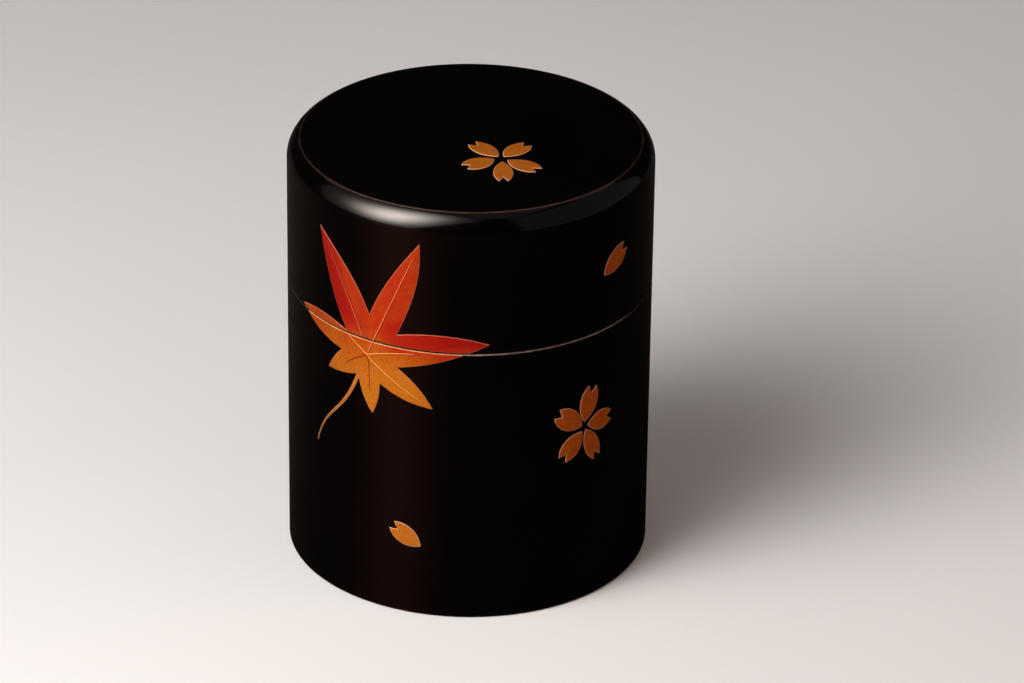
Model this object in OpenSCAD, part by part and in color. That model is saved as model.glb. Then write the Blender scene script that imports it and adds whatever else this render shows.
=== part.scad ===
// Lacquered tea caddy: a turned cylinder with a flush cap lid. The lid slides over an inner
// sleeve that stands above the seam, and a plug-in inner lid with a knob closes the sleeve.
// Millimetres, +Z up, origin at the centre of the base, the decorated front towards -Y.
// Motifs on the wall are drawn flat, as arc length across (0 at the front, + to the right)
// and height up, and are then wrapped on to the wall as thin raised plates.

/* [Outside] */
// Outside diameter
caddy_d = 80; // [76:1:90]
// Height of the lid's flat top
caddy_h = 97.5; // [96:0.5:110]
// Height of the seam between the body and the lid
seam_h = 65; // [62:0.5:66]
// Gap between the body's rim and the closed lid
seam_gap = 0.2; // [0.1:0.05:0.3]
// Width of the bevel on the body's rim
rim_bevel = 0.2; // [0.1:0.05:0.4]
// Width of the bevel round the foot
foot_bevel = 0.4; // [0.2:0.1:0.8]

/* [Body] */
// Thickness of the outer wall
wall_t = 3.3; // [2.8:0.1:4]
// Thickness of the inner sleeve
sleeve_t = 2.2; // [1.6:0.1:3]
// Height that the sleeve stands above the seam
sleeve_rise = 19; // [14:0.5:20]
// Thickness of the base board
base_t = 3.5; // [2.5:0.5:5]
// Height of the recess under the base board
foot_h = 1; // [0.5:0.1:2]
// Width of the ledge that carries the base board
foot_ledge = 1.7; // [1:0.1:3]

/* [Lid] */
// Radial clearance of the lid over the sleeve
lid_clearance = 0.15; // [0.1:0.05:0.3]
// Height of the rounded shoulder
shoulder_drop = 4.7; // [4:0.1:5.5]
// Inset of the flat top's edge from the outside wall
crease_inset = 2.8; // [2.4:0.1:3.4]
// Thickness of the lid's top board
board_t = 3; // [2:0.5:4]
// Width of the ledge that carries the top board
board_ledge = 3; // [2:0.5:5]
// Width of the coloured line round the top board
line_w = 0.25; // [0.2:0.05:0.6]

/* [Inner lid] */
// Thickness of the flange that rests on the sleeve
flange_t = 2; // [1.5:0.1:2.5]
// Depth of the plug below the flange
plug_h = 5; // [4:0.5:8]
// Radial clearance of the plug in the sleeve
plug_clearance = 0.15; // [0.1:0.05:0.3]
// Height of the knob above the flange
knob_h = 6; // [5:0.1:6]
// Radius of the knob
knob_r = 5.2; // [5.1:0.1:7]

/* [Decoration] */
// Thickness of the raised motifs
motif_t = 0.15; // [0.1:0.05:0.3]
// Height of the veins above the leaf
vein_h = 0.12; // [0.05:0.01:0.2]
// Width of the veins
vein_w = 0.3; // [0.2:0.05:0.5]
// Width of the leaf's stalk where it leaves the leaf
stem_w = 0.9; // [0.7:0.1:1.4]

/* [Hidden] */
$fn = 180;

LACQUER = [0.03, 0.028, 0.026];
VERMILION = [0.55, 0.1, 0.05];
RIM_RED = [0.35, 0.16, 0.13];
MAPLE_RED = [0.8, 0.2, 0.07];
MAPLE_GOLD = [0.87, 0.5, 0.15];
PALE_GOLD = [0.9, 0.66, 0.38];
PETAL_GOLD = [0.75, 0.42, 0.1];

caddy_r = caddy_d / 2;
past = 1;                                   // how far a cutter runs past the face that it cuts
lid_z = seam_h + seam_gap;                  // the lid's lower edge when closed
lid_bevel = rim_bevel / 2;
sleeve_r = caddy_r - wall_t;                // outside of the sleeve, inside of the body wall
tea_r = sleeve_r - sleeve_t;                // inside of the sleeve
base_top = foot_h + base_t;
sleeve_top = seam_h + sleeve_rise;
sleeve_bevel = 0.4;

bore_r = sleeve_r + lid_clearance;
crease_r = caddy_r - crease_inset;
shoulder_z = caddy_h - shoulder_drop;
// Radius of the arc that leaves the wall at a tangent and meets the flat top at the crease
shoulder_r = (crease_inset ^ 2 + shoulder_drop ^ 2) / (2 * crease_inset);
shoulder_c = caddy_r - shoulder_r;
board_r = crease_r - line_w / 2;
board_z = caddy_h - board_t;
ledge_t = 1.5;                              // thickness of the ledge under the top board
ledge_z = board_z - ledge_t;
line_depth = 0.4;

flange_step = 0.2;                          // how far the flange stands in from the sleeve
flange_r = sleeve_r - flange_step;
plug_r = tea_r - plug_clearance;
plug_rim = 4.5;                             // width of the plug's downward rim
plug_recess = plug_h / 2;
tenon_r = 2.5;
// The knob's shape, as shares of its radius and height
KNOB_FOOT = [0.75, 0.12];
KNOB_NECK = 0.45;
KNOB_BALL = 0.42;

// Straight steps along each curve
LOBE_STEPS = 6;
VEIN_STEPS = 8;
STALK_STEPS = 14;
PETAL_STEPS = 8;

// The maple leaf, from the point where its veins meet. Each lobe runs from the notch before
// it: bend of the first side, tip, bend of the second side, notch after it
LEAF_AT = [-23, seam_h - 3.4];
LOBES = [
    [[-11, 12.7], [-14.1, 26.2], [-3.2, 18.8], [0.5, 9.7]],
    [[3.8, 18.5], [12.2, 28.9], [13.2, 19.1], [7.1, 6.5]],
    [[17.6, 9.2], [27.6, 5.8], [18.6, 1.2], [7.2, -1.4]],
    [[12.4, -4.6], [15.3, -10.2], [8.8, -9.6], [3.1, -6.2]],
    [[3.2, -10.2], [1.3, -13.9], [-1.4, -11], [-2.5, -5.4]],
    [[-6, -6.8], [-11.3, -6.8], [-9.8, -3.5], [-7.1, -1]],
    [[-13.8, -0.1], [-21.4, 4.4], [-13.5, 7], [-5.6, 4]]
];
// Veins: start, bend, end. They stop short of the point where they would meet
VEINS = [
    [[-1.1, 4.1], [-5.2, 13.6], [-11, 22.4]],
    [[0.3, 0.6], [4.6, 10.8], [11, 25.6]],
    [[-0.5, 0.3], [-2.3, 1.6], [-4.8, 3.2]],
    [[0.8, 0.3], [4.6, 1.8], [11.4, 2.7]],
    [[0.4, -0.4], [5.8, -4.6], [12.8, -8.5]],
    [[0.5, -2.4], [0.6, -5.4], [0.7, -8.6]],
    [[-0.6, -0.4], [-3, -1.5], [-6.3, -4]]
];
// The stalk: four points that steer one curve, from inside the leaf's edge to its foot
STEM = [[-2.3, -5.2], [-6.6, -17.2], [-12.4, -16.6], [-15.4, -26.6]];
STEM_END_W = 0.4;

// Petals: point of the petal from the blossom's centre, direction, length, width
TOP_BLOSSOM_AT = [6.5, -11.2];
TOP_PETALS = [
    [[0.5, 1], 51, 8.3, 4.9],
    [[-0.6, 1], 131, 8.8, 4.8],
    [[-1.5, -0.2], 212, 7.6, 5.3],
    [[0.2, -1.4], 272, 9.6, 4.3],
    [[1.3, -0.6], 324, 8.4, 5]
];
BODY_BLOSSOM_AT = [27, 43.3];
BODY_PETALS = [
    [[0, 1], 75, 8.6, 5],
    [[-0.6, 0.2], 145, 8.1, 5.1],
    [[-0.5, -1.1], 227, 7.8, 4.9],
    [[0.4, -0.9], 293, 8.6, 4.2],
    [[0.9, 0], 0, 7.3, 4.8]
];
LID_PETAL_AT = [31.9, 78.2];
LID_PETAL = [[0, 0], 33, 8.8, 5];
BODY_PETAL_AT = [-10.2, 17.2];
BODY_PETAL = [[0, 0], 148, 8, 4.7];

// ---- curves -------------------------------------------------------------------------------

// Points of a curve steered by 3 or 4 points, at steps even values after its start
function bend3(a, b, c, steps) =
    [for (i = [1:steps]) let (t = i / steps) a * (1 - t) ^ 2 + b * 2 * t * (1 - t) + c * t ^ 2];
function bend4(a, b, c, d, steps) =
    [for (i = [1:steps]) let (t = i / steps)
        a * (1 - t) ^ 3 + b * 3 * t * (1 - t) ^ 2 + c * 3 * t ^ 2 * (1 - t) + d * t ^ 3];

// A line of changing width along points, as one outline
function across(points, i) =
    let (d = points[min(i + 1, len(points) - 1)] - points[max(i - 1, 0)]) [-d.y, d.x] / norm(d);
function width_at(points, i, w0, w1) = w0 + (w1 - w0) * i / (len(points) - 1);
function stroke(points, w0, w1) = concat(
    [for (i = [0:len(points) - 1]) points[i] + across(points, i) * width_at(points, i, w0, w1) / 2],
    [for (i = [len(points) - 1:-1:0])
        points[i] - across(points, i) * width_at(points, i, w0, w1) / 2]);

// The leaf's outline, lobe after lobe
function notch_before(k) = LOBES[(k + len(LOBES) - 1) % len(LOBES)][3];
function leaf_outline() =
    [for (k = [0:len(LOBES) - 1]) let (lobe = LOBES[k])
        each concat(bend3(notch_before(k), lobe[0], lobe[1], LOBE_STEPS),
                    bend3(lobe[1], lobe[2], lobe[3], LOBE_STEPS))];

// A vein narrows to half its width
function vein_outline(vein) =
    stroke(concat([vein[0]], bend3(vein[0], vein[1], vein[2], VEIN_STEPS)), vein_w, vein_w / 2);

// A petal's curve as shares of its length and width: the two points that steer each side, the
// tip that the side ends in, and the notch between the two tips
PETAL_STEER = [[0.28, 0.6], [0.74, 0.64]];
PETAL_TIP = [1, 0.22];
PETAL_NOTCH = 0.8;
// One side of a petal, from its point at the origin to one of its two tips; side is 1 or -1
function petal_side(long, wide, side) =
    let (size = [[long, 0], [0, wide * side]])
        bend4([0, 0], PETAL_STEER[0] * size, PETAL_STEER[1] * size, PETAL_TIP * size, PETAL_STEPS);
function reversed(points) = [for (i = [len(points) - 1:-1:0]) points[i]];
// A petal with a notched end
function petal_outline(petal) = let (long = petal[2], wide = petal[3]) concat(
    [[0, 0]], petal_side(long, wide, -1), [[PETAL_NOTCH * long, 0]],
    reversed(petal_side(long, wide, 1)));
// The outline turned to the petal's direction and moved to its place
function placed(points, at, angle) =
    [for (p = points) at + [p.x * cos(angle) - p.y * sin(angle), p.x * sin(angle) + p.y * cos(angle)]];
function petal_at(petal, centre) = placed(petal_outline(petal), centre + petal[0], petal[1]);

// ---- placing on the wall ------------------------------------------------------------------

// Where a point of the flat drawing falls when it is wrapped round the wall and seen square
// to the wall at arc length s_mid
function wrapped(points, s_mid) =
    [for (p = points) [caddy_r * sin((p.x - s_mid) / caddy_r * 180 / PI), p.y]];

// Keeps the children's flat shape as a thin plate on the wall, between two heights
module wall_plate(s_mid, lift, thick, z_low, z_high) {
    rotate([0, 0, s_mid / caddy_r * 180 / PI])
        intersection() {
            translate([0, 0, z_low])
                rotate_extrude()
                    translate([caddy_r + lift, 0])
                        square([thick, z_high - z_low]);
            rotate([90, 0, 0])
                linear_extrude(caddy_r + past)
                    children();
        }
}

// The leaf on the body stops below the rim's bevel, and on the lid above the lid's bevel
leaf_low = seam_h - rim_bevel;
leaf_high = lid_z + lid_bevel;
leaf_points = [for (p = leaf_outline()) LEAF_AT + p];

module leaf_plate(z_low, z_high) {
    wall_plate(LEAF_AT.x, 0, motif_t, z_low, z_high)
        polygon(wrapped(leaf_points, LEAF_AT.x));
}

module vein_plate(z_low, z_high) {
    wall_plate(LEAF_AT.x, motif_t, vein_h, z_low, z_high)
        for (vein = VEINS)
            polygon(wrapped([for (p = vein_outline(vein)) LEAF_AT + p], LEAF_AT.x));
}

module petal_plate(petals, at) {
    wall_plate(at.x, 0, motif_t, 0, shoulder_z)
        for (petal = petals)
            polygon(wrapped(petal_at(petal, at), at.x));
}

// Takes the bevel off an outside edge at (caddy_r, z); up is 1 for a top edge, -1 for a bottom
module edge_cutter(z, bevel, up) {
    polygon([
        [caddy_r - bevel - past, z + up * past],
        [caddy_r + past, z + up * past],
        [caddy_r + past, z - up * (bevel + past)]
    ]);
}

// ---- body ---------------------------------------------------------------------------------

module body_shell() {
    color(LACQUER)
        rotate_extrude()
            difference() {
                square([caddy_r, seam_h]);
                translate([0, foot_h])
                    square([sleeve_r, seam_h]);
                translate([0, -past])
                    square([sleeve_r - foot_ledge, seam_h]);
                edge_cutter(seam_h, rim_bevel, 1);
                edge_cutter(0, foot_bevel, -1);
            }
}

module base_board() {
    color(LACQUER)
        translate([0, 0, foot_h])
            cylinder(r = sleeve_r, h = base_t);
}

module inner_sleeve() {
    color(VERMILION)
        rotate_extrude()
            polygon([
                [tea_r, base_top],
                [sleeve_r, base_top],
                [sleeve_r, sleeve_top - sleeve_bevel],
                [sleeve_r - sleeve_bevel, sleeve_top],
                [tea_r + sleeve_bevel, sleeve_top],
                [tea_r, sleeve_top - sleeve_bevel]
            ]);
}

// ---- inner lid ----------------------------------------------------------------------------

module inner_lid() {
    plug_z = sleeve_top - plug_h;
    color(LACQUER)
        rotate_extrude()
            difference() {
                polygon([
                    [tenon_r, plug_z],
                    [plug_r - sleeve_bevel, plug_z],
                    [plug_r, plug_z + sleeve_bevel],
                    [plug_r, sleeve_top],
                    [flange_r, sleeve_top],
                    [flange_r, sleeve_top + flange_t - sleeve_bevel],
                    [flange_r - sleeve_bevel, sleeve_top + flange_t],
                    [tenon_r, sleeve_top + flange_t]
                ]);
                translate([0, plug_z - past])
                    square([plug_r - plug_rim, plug_recess + past]);
            }
}

module inner_lid_knob() {
    tenon_z = sleeve_top - plug_h + plug_recess;
    foot_z = sleeve_top + flange_t;
    ball_r = knob_h * KNOB_BALL;
    color(LACQUER)
        rotate_extrude() {
            translate([0, tenon_z])
                square([tenon_r, foot_z - tenon_z]);
            translate([0, foot_z])
                square([knob_r * KNOB_FOOT.x, knob_h * KNOB_FOOT.y]);
            translate([0, foot_z])
                square([knob_r * KNOB_NECK, knob_h - ball_r]);
            translate([knob_r - ball_r, foot_z + knob_h - ball_r])
                circle(r = ball_r);
            translate([0, foot_z + knob_h - 2 * ball_r])
                square([knob_r - ball_r, 2 * ball_r]);
        }
}

// ---- lid ----------------------------------------------------------------------------------

// Half section of the whole lid's outside, from the base line up
module lid_section() {
    square([caddy_r, shoulder_z]);
    square([shoulder_c, caddy_h]);
    intersection() {
        square([caddy_r, caddy_h]);
        translate([shoulder_c, shoulder_z])
            circle(r = shoulder_r);
    }
}

// Half section of the groove at the crease
module line_section() {
    translate([board_r, caddy_h - line_depth])
        square([line_w, line_depth + past]);
}

module lid_ring() {
    color(LACQUER)
        rotate_extrude()
            difference() {
                lid_section();
                square([bore_r, ledge_z]);
                square([caddy_r + past, lid_z]);
                square([board_r - board_ledge, caddy_h + past]);
                translate([0, board_z])
                    square([board_r, board_t + past]);
                line_section();
                edge_cutter(lid_z, lid_bevel, -1);
            }
}

module lid_top_board() {
    color(LACQUER)
        translate([0, 0, board_z])
            cylinder(r = board_r, h = board_t);
}

module lid_rim_line() {
    color(RIM_RED)
        rotate_extrude()
            intersection() {
                line_section();
                lid_section();
            }
}

// ---- decoration ---------------------------------------------------------------------------

module leaf_lid() {
    color(MAPLE_RED)
        leaf_plate(leaf_high, shoulder_z);
}

module leaf_body() {
    color(MAPLE_GOLD)
        leaf_plate(0, leaf_low);
}

module leaf_veins_lid() {
    color(PALE_GOLD)
        vein_plate(leaf_high, shoulder_z);
}

module leaf_veins_body() {
    color(PALE_GOLD)
        vein_plate(0, leaf_low);
}

// The stalk starts at the leaf's edge, so the leaf's own shape is taken out of it
module leaf_stem() {
    path = concat([STEM[0]], bend4(STEM[0], STEM[1], STEM[2], STEM[3], STALK_STEPS));
    color(MAPLE_GOLD)
        wall_plate(LEAF_AT.x, 0, motif_t, 0, leaf_low)
            difference() {
                polygon(wrapped([for (p = stroke(path, stem_w, STEM_END_W)) LEAF_AT + p], LEAF_AT.x));
                polygon(wrapped(leaf_points, LEAF_AT.x));
            }
}

module top_blossom() {
    color(PETAL_GOLD)
        translate([0, 0, caddy_h])
            linear_extrude(motif_t)
                for (petal = TOP_PETALS)
                    polygon(petal_at(petal, TOP_BLOSSOM_AT));
}

module lid_petal() {
    color(PETAL_GOLD)
        petal_plate([LID_PETAL], LID_PETAL_AT);
}

module body_blossom() {
    color(PETAL_GOLD)
        petal_plate(BODY_PETALS, BODY_BLOSSOM_AT);
}

module body_petal() {
    color(MAPLE_GOLD)
        petal_plate([BODY_PETAL], BODY_PETAL_AT);
}

body_shell();
base_board();
inner_sleeve();
inner_lid();
inner_lid_knob();
lid_ring();
lid_top_board();
lid_rim_line();
leaf_lid();
leaf_body();
leaf_stem();
leaf_veins_lid();
leaf_veins_body();
top_blossom();
lid_petal();
body_blossom();
body_petal();
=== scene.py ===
"""Looks of the lacquered tea caddy: turned lacquer pieces, raised gold and red motifs, a studio.

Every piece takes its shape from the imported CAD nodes: turned pieces from the nodes' cross-sections,
with their edges rounded, and motifs from the outlines of the nodes' thin plates.
Metres, in the CAD frame: +Z up, the decorated front towards -Y.
"""
import math

import bmesh
import bpy
import numpy as np
from mathutils import Matrix, Vector, geometry


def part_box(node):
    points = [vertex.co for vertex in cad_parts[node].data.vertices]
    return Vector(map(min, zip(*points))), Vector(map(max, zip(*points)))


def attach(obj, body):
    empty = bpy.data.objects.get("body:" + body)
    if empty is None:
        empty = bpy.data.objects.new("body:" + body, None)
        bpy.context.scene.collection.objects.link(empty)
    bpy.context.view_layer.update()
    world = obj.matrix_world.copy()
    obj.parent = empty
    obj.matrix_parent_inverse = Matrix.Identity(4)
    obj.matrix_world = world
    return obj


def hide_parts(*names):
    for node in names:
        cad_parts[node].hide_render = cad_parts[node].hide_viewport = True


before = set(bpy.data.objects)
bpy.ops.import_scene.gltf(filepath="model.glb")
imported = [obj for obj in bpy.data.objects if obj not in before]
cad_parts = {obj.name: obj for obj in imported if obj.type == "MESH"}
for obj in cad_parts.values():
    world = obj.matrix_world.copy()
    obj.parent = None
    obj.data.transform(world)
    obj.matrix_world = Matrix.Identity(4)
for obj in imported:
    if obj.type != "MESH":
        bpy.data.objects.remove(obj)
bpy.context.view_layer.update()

MM = 0.001
SEGMENTS = 384                      # divisions round a turned piece
CORNER = math.radians(25)           # a line that turns by more than this has a corner there
STRAIGHT_ON = math.radians(0.3)     # and by less than this is straight
SAME = 1e-6                         # places closer than this are one
TO_UPPER_LEFT = np.array([-0.75, 0.66])         # on the wall, the side the light comes from

# A motif's plate: its rows of points inset from the edge, its depth in the wall
INSETS = [0.07 * MM, 0.15 * MM, 0.26 * MM]
SUNK = 0.02 * MM
# A vein's section: shares of its half width and of its height
VEIN_SECTION = [(-1, -0.6), (-0.85, 0.35), (-0.45, 0.85), (0, 1),
                (0.45, 0.85), (0.85, 0.35), (1, -0.6)]
VEIN_TAPER = 0.12                   # share of a vein's length that tapers at a free end

caddy_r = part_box("body_shell")[1].x
caddy_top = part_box("lid_top_board")[1].z
seam_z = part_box("body_shell")[1].z


# ---- lines --------------------------------------------------------------------------------

def turn(a, b, c):
    """The angle that the line a, b, c turns through at b."""
    u, v = b - a, c - b
    return math.atan2(u[0] * v[1] - u[1] * v[0], u[0] * v[0] + u[1] * v[1])


def rotated(v, angle):
    """A flat direction turned anticlockwise."""
    c, s = math.cos(angle), math.sin(angle)
    return np.array([v[0] * c - v[1] * s, v[0] * s + v[1] * c])


def chained(segments):
    """Joins segments, pairs of points, into lines: a list of (points, closed)."""
    def key(p):
        return (round(p[0] / SAME), round(p[1] / SAME))
    near, places = {}, {}
    for a, b in segments:
        ka, kb = key(a), key(b)
        places[ka], places[kb] = a, b
        if ka != kb:
            near.setdefault(ka, []).append(kb)
            near.setdefault(kb, []).append(ka)
    lines, left = [], set(near)
    while left:
        ends = sorted(k for k in left if len(near[k]) == 1)
        start = ends[0] if ends else min(left)
        path, here = [start], start
        left.discard(start)
        while True:
            onward = [k for k in near[here] if k in left]
            if not onward:
                break
            here = onward[0]
            left.discard(here)
            path.append(here)
        lines.append((np.array([places[k] for k in path], float), not ends))
    return lines


def neighbours(points, closed, i):
    """The points before and after point i, None past the end of an open line."""
    n = len(points)
    before = points[(i - 1) % n] if closed or i > 0 else None
    after = points[(i + 1) % n] if closed or i < n - 1 else None
    return before, after


def simplified(points, closed):
    """Leaves out the points where the line goes straight on."""
    keep = []
    for i, p in enumerate(points):
        before, after = neighbours(points, closed, i)
        if before is None or after is None or abs(turn(before, p, after)) > STRAIGHT_ON:
            keep.append(p)
    return np.array(keep)


def tangent(points, closed, i, sharp):
    """Direction of the smooth curve through point i, or None at a corner or an end."""
    before, after = neighbours(points, closed, i)
    if before is None or after is None or sharp(i):
        return None
    u, v = points[i] - before, after - points[i]
    lu, lv = np.linalg.norm(u), np.linalg.norm(v)
    bend = turn(before, points[i], after)
    if lu > 4 * lv:                 # a straight run into a curve
        return u / lu
    if lv > 4 * lu:
        return v / lv
    return rotated(u / lu, bend * lu / (lu + lv))


def curved(points, closed, step, fixed=()):
    """The points joined by smooth curves, sampled about every step, with corners kept. Without
    a step, straight runs stay whole. The points in fixed count as corners."""
    n = len(points)

    def sharp(i):
        before, after = neighbours(points, closed, i)
        return i in fixed or abs(turn(before, points[i], after)) > CORNER

    tangents = [tangent(points, closed, i, sharp) for i in range(n)]
    out = []
    for i in range(n if closed else n - 1):
        a, b = points[i], points[(i + 1) % n]
        chord = b - a
        length = np.linalg.norm(chord)
        way = chord / length
        ta, tb = tangents[i], tangents[(i + 1) % n]
        if ta is None:
            ta = way if tb is None else 2 * (way @ tb) * way - tb
        if tb is None:
            tb = 2 * (way @ ta) * way - ta
        straight = min(ta @ way, tb @ way) > math.cos(math.radians(0.05))
        steps = 1 if straight and step is None else max(1, math.ceil(length / (step or 0.25 * MM)))
        for k in range(steps):
            t = k / steps
            out.append(a * (2 * t ** 3 - 3 * t ** 2 + 1) + b * (3 * t ** 2 - 2 * t ** 3)
                       + ta * length * (t ** 3 - 2 * t ** 2 + t) + tb * length * (t ** 3 - t ** 2))
    if not closed:
        out.append(points[-1])
    return np.array(out)


# ---- turned pieces ------------------------------------------------------------------------

def section(node):
    """The right half of a CAD node's cross-section: (points of radius and height, closed)."""
    cut = bmesh.new()
    cut.from_mesh(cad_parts[node].data)
    bmesh.ops.remove_doubles(cut, verts=cut.verts, dist=SAME)
    made = bmesh.ops.bisect_plane(cut, geom=cut.verts[:] + cut.edges[:] + cut.faces[:],
                                  dist=SAME / 10, plane_co=(0, 0, 0),
                                  plane_no=(0, 1, 0))["geom_cut"]
    segments = []
    for e in made:
        if not isinstance(e, bmesh.types.BMEdge):
            continue
        a, b = sorted((v.co for v in e.verts), key=lambda co: co.x)
        if b.x > SAME:
            segments.append(((max(a.x, 0.0), a.z), (b.x, b.z)))
    cut.free()
    points, closed = max(chained(segments), key=lambda line: len(line[0]))
    return simplified(points, closed), closed


def rounded(points, closed, size, steps=5):
    """Rounds the corners off by arcs of that radius. Gives rows of radius, height and wear:
    wear is 1 on a rounded corner and 0 elsewhere."""
    rows = []
    for i, p in enumerate(points):
        before, after = neighbours(points, closed, i)
        if before is None or after is None or abs(turn(before, p, after)) <= CORNER:
            rows.append((p[0], p[1], 0.0))
            continue
        u, v = before - p, after - p
        lu, lv = np.linalg.norm(u), np.linalg.norm(v)
        u, v = u / lu, v / lv
        half = (math.pi - abs(turn(before, p, after))) / 2
        reach = min(size / math.tan(half), 0.4 * lu, 0.4 * lv)
        a, b = p + u * reach, p + v * reach
        guard = min(2 * reach, 0.15 * MM)   # a flat's last ring, so that the flat stays flat
        if lu > 4 * (reach + guard):
            rows.append((*(a + u * guard), 0.0))
        for k in range(steps + 1):
            t = k / steps
            q = a * (1 - t) ** 2 + p * 2 * t * (1 - t) + b * t ** 2
            rows.append((q[0], q[1], 1.0))
        if lv > 4 * (reach + guard):
            rows.append((*(b + v * guard), 0.0))
    return rows


def mesh_object(name, bm, *materials):
    """Makes a smooth-shaded object of the mesh under construction and links it."""
    bmesh.ops.recalc_face_normals(bm, faces=bm.faces)
    mesh = bpy.data.meshes.new(name)
    bm.to_mesh(mesh)
    bm.free()
    mesh.shade_smooth()
    for m in materials:
        mesh.materials.append(m)
    made = bpy.data.objects.new(name, mesh)
    bpy.context.scene.collection.objects.link(made)
    return made


def placed(piece, body, slot, *nodes):
    """The piece rides on its body and stands for its CAD nodes. slot is not used."""
    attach(piece, body)
    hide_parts(*nodes)
    return piece


def turned(name, node, size, *materials):
    """A turned piece made from the CAD node's cross-section, its corners rounded by size. A
    second material covers its top face. Gives the object and its profile."""
    points, closed = section(node)
    rows = rounded(curved(points, closed, None), closed, size)
    bm = bmesh.new()
    wear = bm.verts.layers.float.new("wear")
    top = max(z for _, z, _ in rows) - 0.01 * MM if len(materials) > 1 else math.inf
    rings = []
    for r, z, worn in rows:
        if r < SAME:
            ring = [bm.verts.new((0, 0, z))] * SEGMENTS
        else:
            ring = [bm.verts.new((r * math.sin(a), -r * math.cos(a), z))
                    for a in (2 * math.pi * k / SEGMENTS for k in range(SEGMENTS))]
        for v in set(ring):
            v[wear] = worn
        rings.append(ring)
    for i in range(len(rings) if closed else len(rings) - 1):
        a, b = rings[i], rings[(i + 1) % len(rings)]
        on_top_face = (rows[i][1] + rows[(i + 1) % len(rings)][1]) / 2 > top
        for k in range(SEGMENTS):
            m = (k + 1) % SEGMENTS
            corners = list(dict.fromkeys((a[k], a[m], b[m], b[k])))
            bm.faces.new(corners).material_index = int(on_top_face)
    return mesh_object(name, bm, *materials), np.array(rows)


# ---- motifs -------------------------------------------------------------------------------

def outlines(node, flat=False):
    """Outlines of a motif's plate: closed lines of points, across and up the wall, or x and y
    for a motif that lies flat on top."""
    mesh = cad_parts[node].data
    co = np.array([v.co for v in mesh.vertices])
    if flat:
        uv = co[:, :2]
        outer = co[:, 2] > co[:, 2].max() - SAME
    else:
        reach = np.hypot(co[:, 0], co[:, 1])
        uv = np.stack([caddy_r * np.arctan2(co[:, 0], -co[:, 1]), co[:, 2]], 1)
        outer = reach > (reach.min() + reach.max()) / 2
    places, index = np.unique(np.round(uv / SAME).astype(int), axis=0, return_inverse=True)
    index = index.ravel()
    first = {k: uv[i] for i, k in reversed(list(enumerate(index)))}
    used = {}
    mesh.calc_loop_triangles()
    for tri in mesh.loop_triangles:
        if all(outer[i] for i in tri.vertices):
            k = [index[i] for i in tri.vertices]
            for a, b in zip(k, k[1:] + k[:1]):
                used[frozenset((a, b))] = used.get(frozenset((a, b)), 0) + 1
    rim = [tuple(first[k] for k in pair) for pair, n in used.items() if n == 1 and len(pair) == 2]
    return [simplified(points, True) for points, closed in chained(rim) if closed]


def distance(points, line):
    """Distance from each point to a closed line."""
    a, b = line, np.roll(line, -1, axis=0)
    d = b - a
    best = np.full(len(points), np.inf)
    for k in range(len(a)):
        t = np.clip(((points - a[k]) @ d[k]) / max(d[k] @ d[k], 1e-18), 0, 1)
        best = np.minimum(best, np.hypot(*(points - a[k] - t[:, None] * d[k]).T))
    return best


def within(points, line):
    """Which points lie inside a closed line."""
    a, b = line, np.roll(line, -1, axis=0)
    inside = np.zeros(len(points), bool)
    for (x0, y0), (x1, y1) in zip(a, b):
        if y0 != y1:
            crosses = (points[:, 1] < y0) != (points[:, 1] < y1)
            at = x0 + (points[:, 1] - y0) * (x1 - x0) / (y1 - y0)
            inside ^= crosses & (points[:, 0] < at)
    return inside


def filled(line, insets, grid):
    """Triangles that fill a closed line: its own points, rows of points inset from it and an
    even grid. Gives points and triangles."""
    ahead, behind = np.roll(line, -1, axis=0), np.roll(line, 1, axis=0)
    way = ahead - behind
    way /= np.linalg.norm(way, axis=1)[:, None]
    left = np.stack([-way[:, 1], way[:, 0]], 1)
    area = np.sum(line[:, 0] * ahead[:, 1] - ahead[:, 0] * line[:, 1])
    inward = left if area > 0 else -left
    rows = [line]
    for inset in insets:
        p = line + inward * inset
        rows.append(p[within(p, line) & (distance(p, line) > 0.93 * inset)])
    low, high = line.min(0), line.max(0)
    xs = np.arange(low[0], high[0], grid)
    ys = np.arange(low[1], high[1], grid * math.sqrt(3) / 2)
    mesh_points = np.array([(x + (j % 2) * grid / 2, y) for j, y in enumerate(ys) for x in xs])
    p = mesh_points[within(mesh_points, line)]
    rows.append(p[distance(p, line) > insets[-1] + 0.6 * grid])
    points = np.concatenate(rows) / MM      # millimetres, for the triangulation's own tolerance
    n = len(line)
    edges = [(k, (k + 1) % n) for k in range(n)]
    made = geometry.delaunay_2d_cdt([Vector(p) for p in points], edges, [], 0, 1e-5)
    verts = np.array([tuple(v) for v in made[0]]) * MM
    tris = [tuple(f) for f in made[2]]
    middle = np.array([verts[list(t)].mean(0) for t in tris])
    keep = within(middle, line)
    return verts, [t for t, k in zip(tris, keep) if k]


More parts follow.
